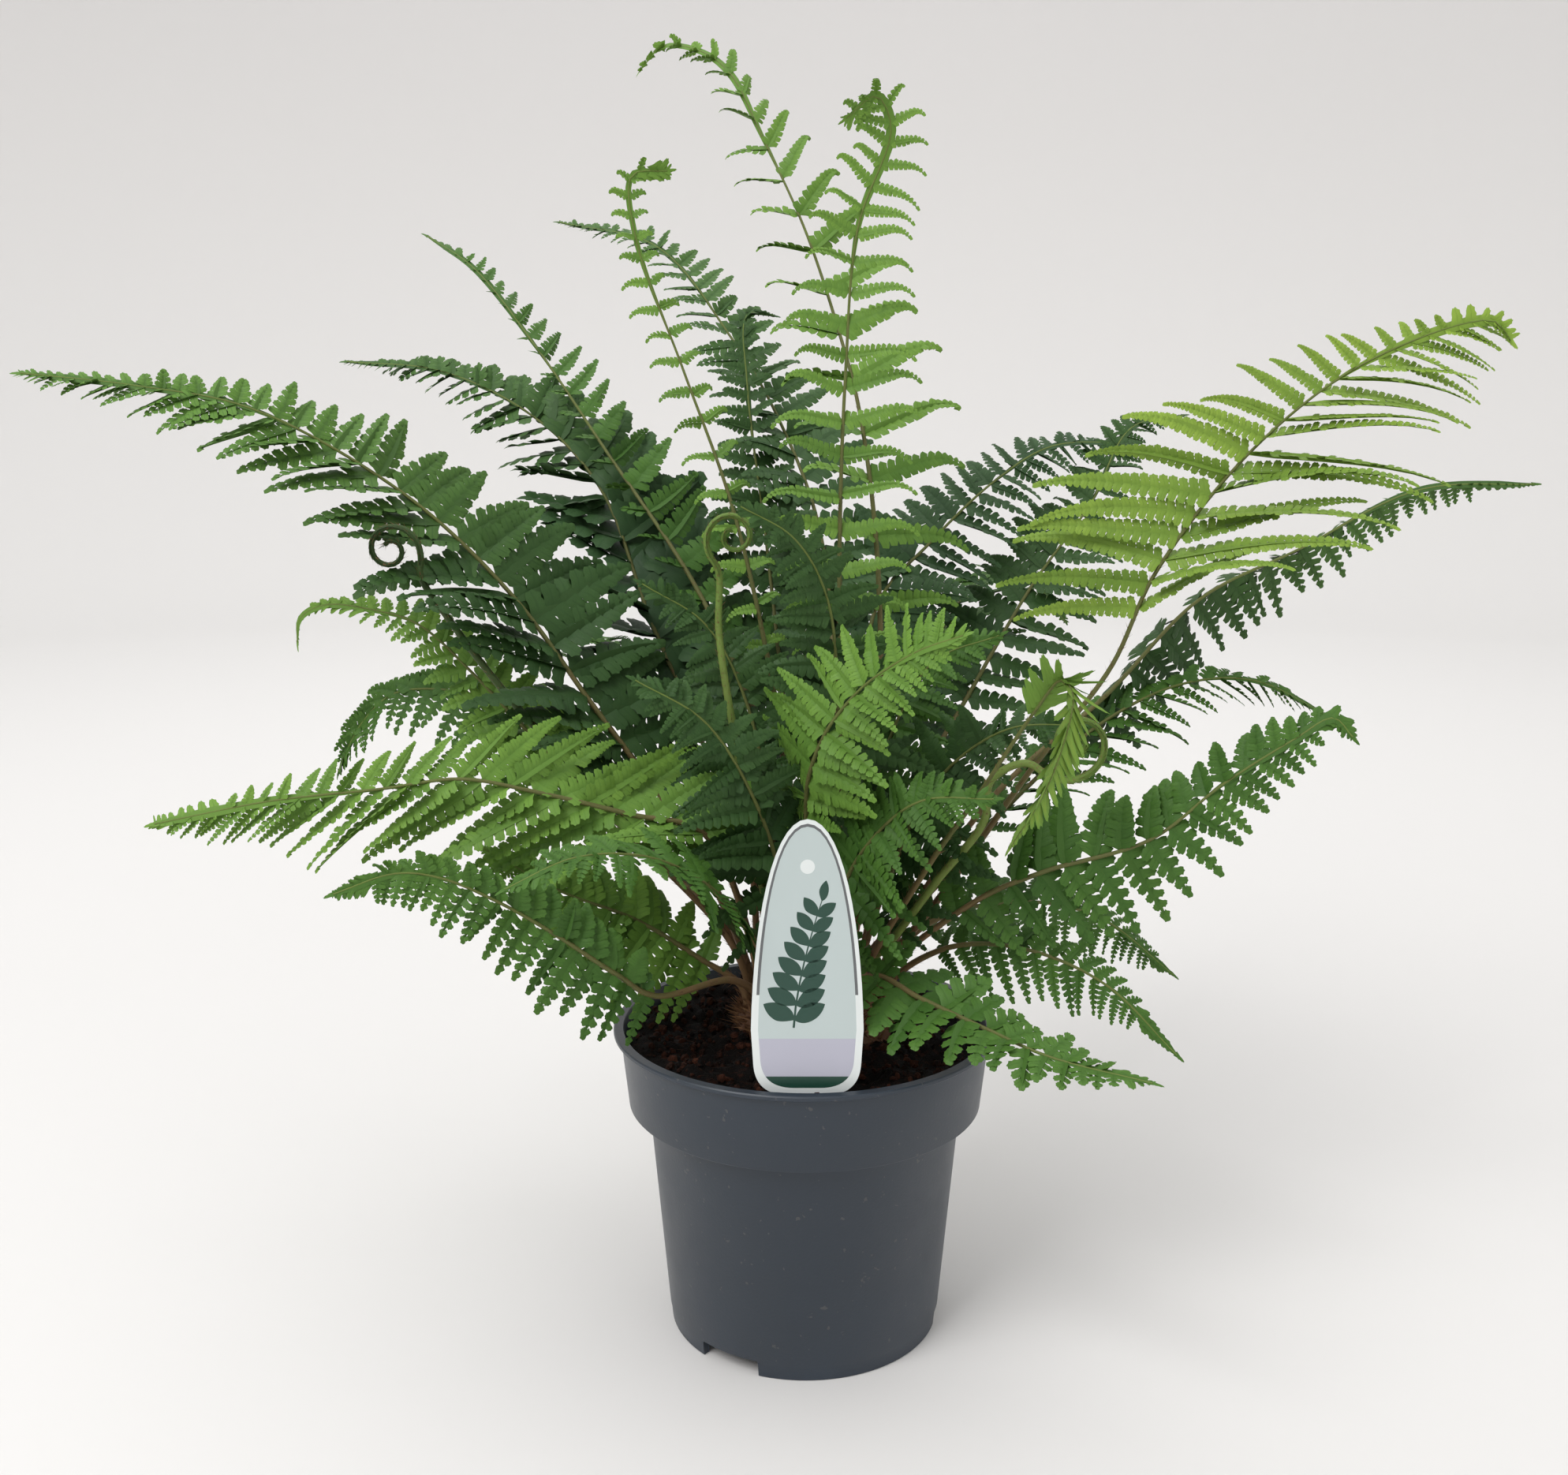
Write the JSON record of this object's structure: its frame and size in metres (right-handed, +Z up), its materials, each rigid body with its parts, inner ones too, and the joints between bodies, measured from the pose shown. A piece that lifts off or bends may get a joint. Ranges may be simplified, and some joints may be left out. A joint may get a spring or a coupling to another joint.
{
  "type": "potted male fern",
  "caption": "Male fern with arching pinnate fronds and rolled young croziers, growing from a scaly crown in a round collared nursery pot of peat soil with a plain oval plant label.",
  "frame": {"origin": "centre of the pot's base, on the surface that the pot stands on", "axes": "+Z up along the pot's axis; the front of the plant, with the label, looks along -Y; +X is to the right seen from the front"},
  "size_m": [0.728, 0.446, 0.65],
  "materials": {
    "pot": "satin",
    "soil": "matte",
    "crown": "matte",
    "label": "gloss",
    "frond_bright": "satin",
    "frond_fresh": "satin",
    "frond_green": "satin",
    "frond_dark": "satin",
    "frond_blue": "satin",
    "crozier": "satin"
  },
  "bodies": {
    "root": {"pot": "pot", "soil": "soil", "crown": "crown", "label": "label", "frond_right_big": "frond_bright", "frond_left_front": "frond_fresh", "frond_left_far": "frond_dark", "frond_back_tall": "frond_fresh", "frond_centre_tall": "frond_fresh", "frond_left_tall": "frond_fresh", "frond_centre_front": "frond_bright", "frond_right_lower": "frond_green", "frond_front_right": "frond_bright", "frond_right_front_low": "frond_fresh", "frond_left_low": "frond_green", "frond_left_back_long": "frond_green", "frond_right_back": "frond_dark", "frond_left_mid_back": "frond_blue", "frond_back_left": "frond_blue", "frond_right_mid": "frond_blue", "frond_right_up_back": "frond_dark", "frond_back_mid": "frond_dark", "frond_left_mid": "frond_fresh", "frond_left_droop": "frond_green", "frond_centre_dark": "frond_dark", "frond_right_comb": "frond_green", "frond_right_thin": "frond_green", "frond_right_mid_low": "frond_green", "frond_left_low_light": "frond_fresh", "frond_front_hidden": "frond_green", "frond_back_right": "frond_green", "frond_back": "frond_dark", "frond_back_left_low": "frond_green", "frond_inner_left": "frond_dark", "frond_inner_front": "frond_green", "frond_inner_right": "frond_dark", "frond_inner_back": "frond_dark", "frond_inner_mid": "frond_green", "crozier_right": "crozier", "crozier_left": "crozier", "crozier_centre": "crozier"}
  },
  "joints": []
}
